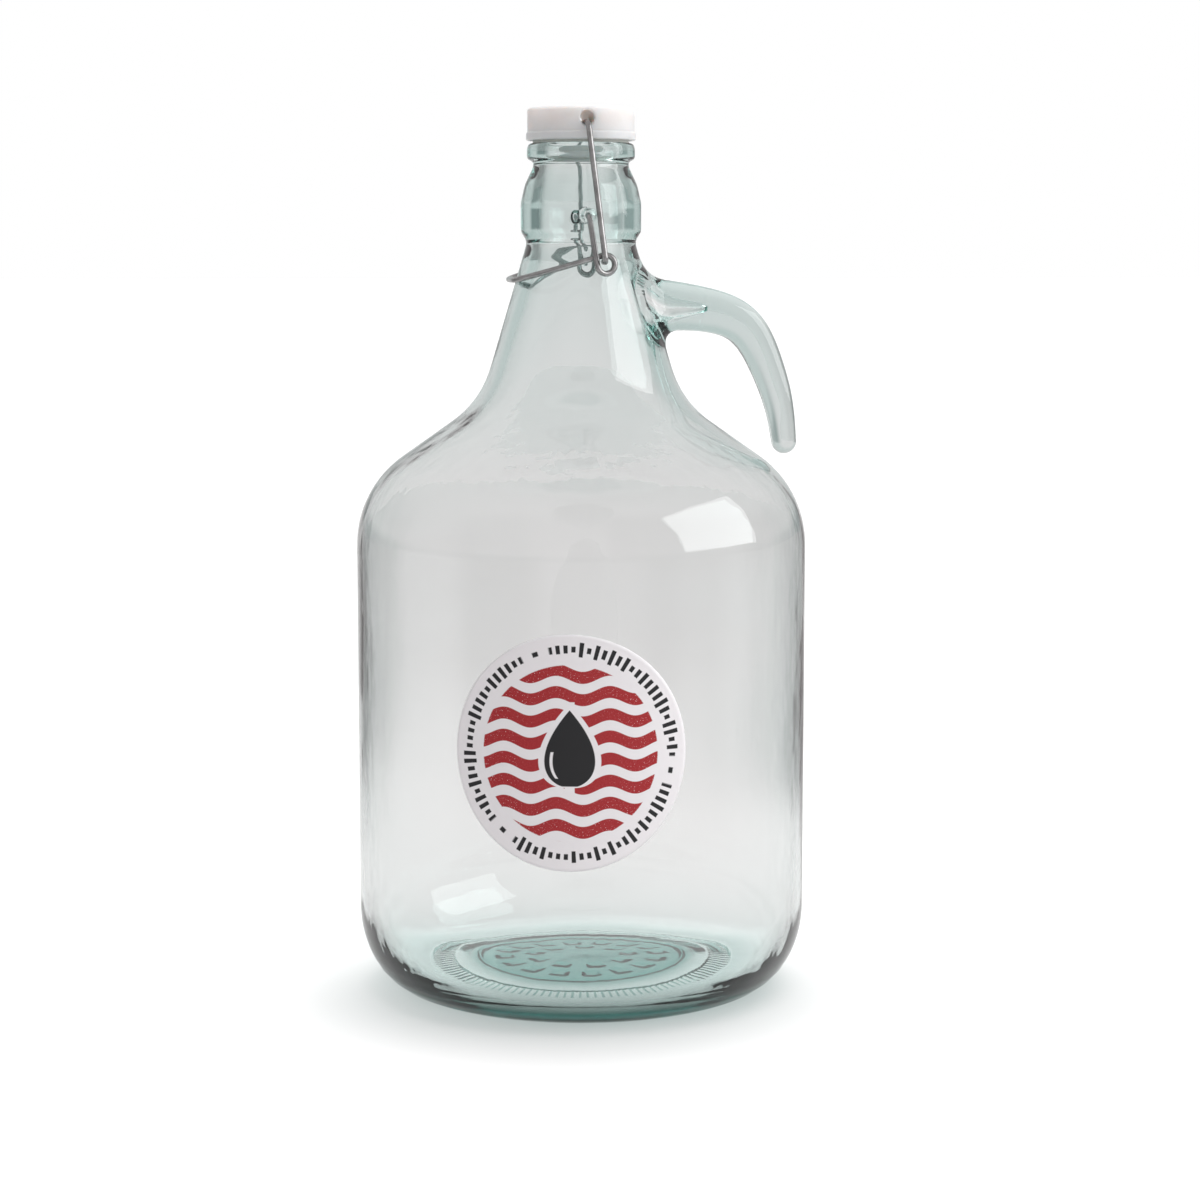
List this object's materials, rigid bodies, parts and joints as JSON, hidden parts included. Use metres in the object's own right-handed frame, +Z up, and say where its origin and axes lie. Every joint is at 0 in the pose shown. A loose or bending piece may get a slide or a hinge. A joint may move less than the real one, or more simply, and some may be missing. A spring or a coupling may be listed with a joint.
{
  "type": "glass jug with swing-top stopper",
  "caption": "Large round glass jug with a moulded hook handle on its shoulder, a wire swing-top closure with a plastic stopper, and a round label.",
  "frame": {"origin": "centre of the base, on the surface the jug stands on", "axes": "+Z up along the jug's axis; +X towards the hook handle; the closure's pivots lie along Y, and the label is on the -Y side"},
  "size_m": [0.18, 0.1801, 0.3527],
  "materials": {
    "clear_glass": "clear glass with a slight green tint",
    "label_film": "printed white label film",
    "steel_wire": "drawn bright steel wire",
    "white_plastic": "satin moulded plastic",
    "pale_rubber": "soft matt"
  },
  "bodies": {
    "jug": {"glass_jug": "clear_glass", "round_label": "label_film"},
    "lever": {"lever_wire": "steel_wire"},
    "bail": {"bail_wire": "steel_wire"},
    "stopper": {"stopper_cap": "white_plastic", "sealing_gasket": "pale_rubber"}
  },
  "joints": [
    {"name": "lever_swing", "type": "hinge", "parent": "jug", "child": "lever", "pos_m": [0, 0, 0.3099], "axis": [0, 1, 0], "range_deg": [0, 100], "deforming": ["sealing_gasket"]},
    {"name": "bail_swing", "type": "hinge", "parent": "lever", "child": "bail", "pos_m": [0.00577, 0, 0.29192], "axis": [0, 1, 0], "range_deg": [-65, 0]},
    {"name": "cap_tilt", "type": "hinge", "parent": "bail", "child": "stopper", "pos_m": [0, 0, 0.3459], "axis": [0, 1, 0], "range_deg": [-37, 0]}
  ],
  "couplings": [
    {"joint": "bail_swing", "follows": "lever_swing", "ratio": -0.64},
    {"joint": "cap_tilt", "follows": "lever_swing", "ratio": -0.36}
  ]
}
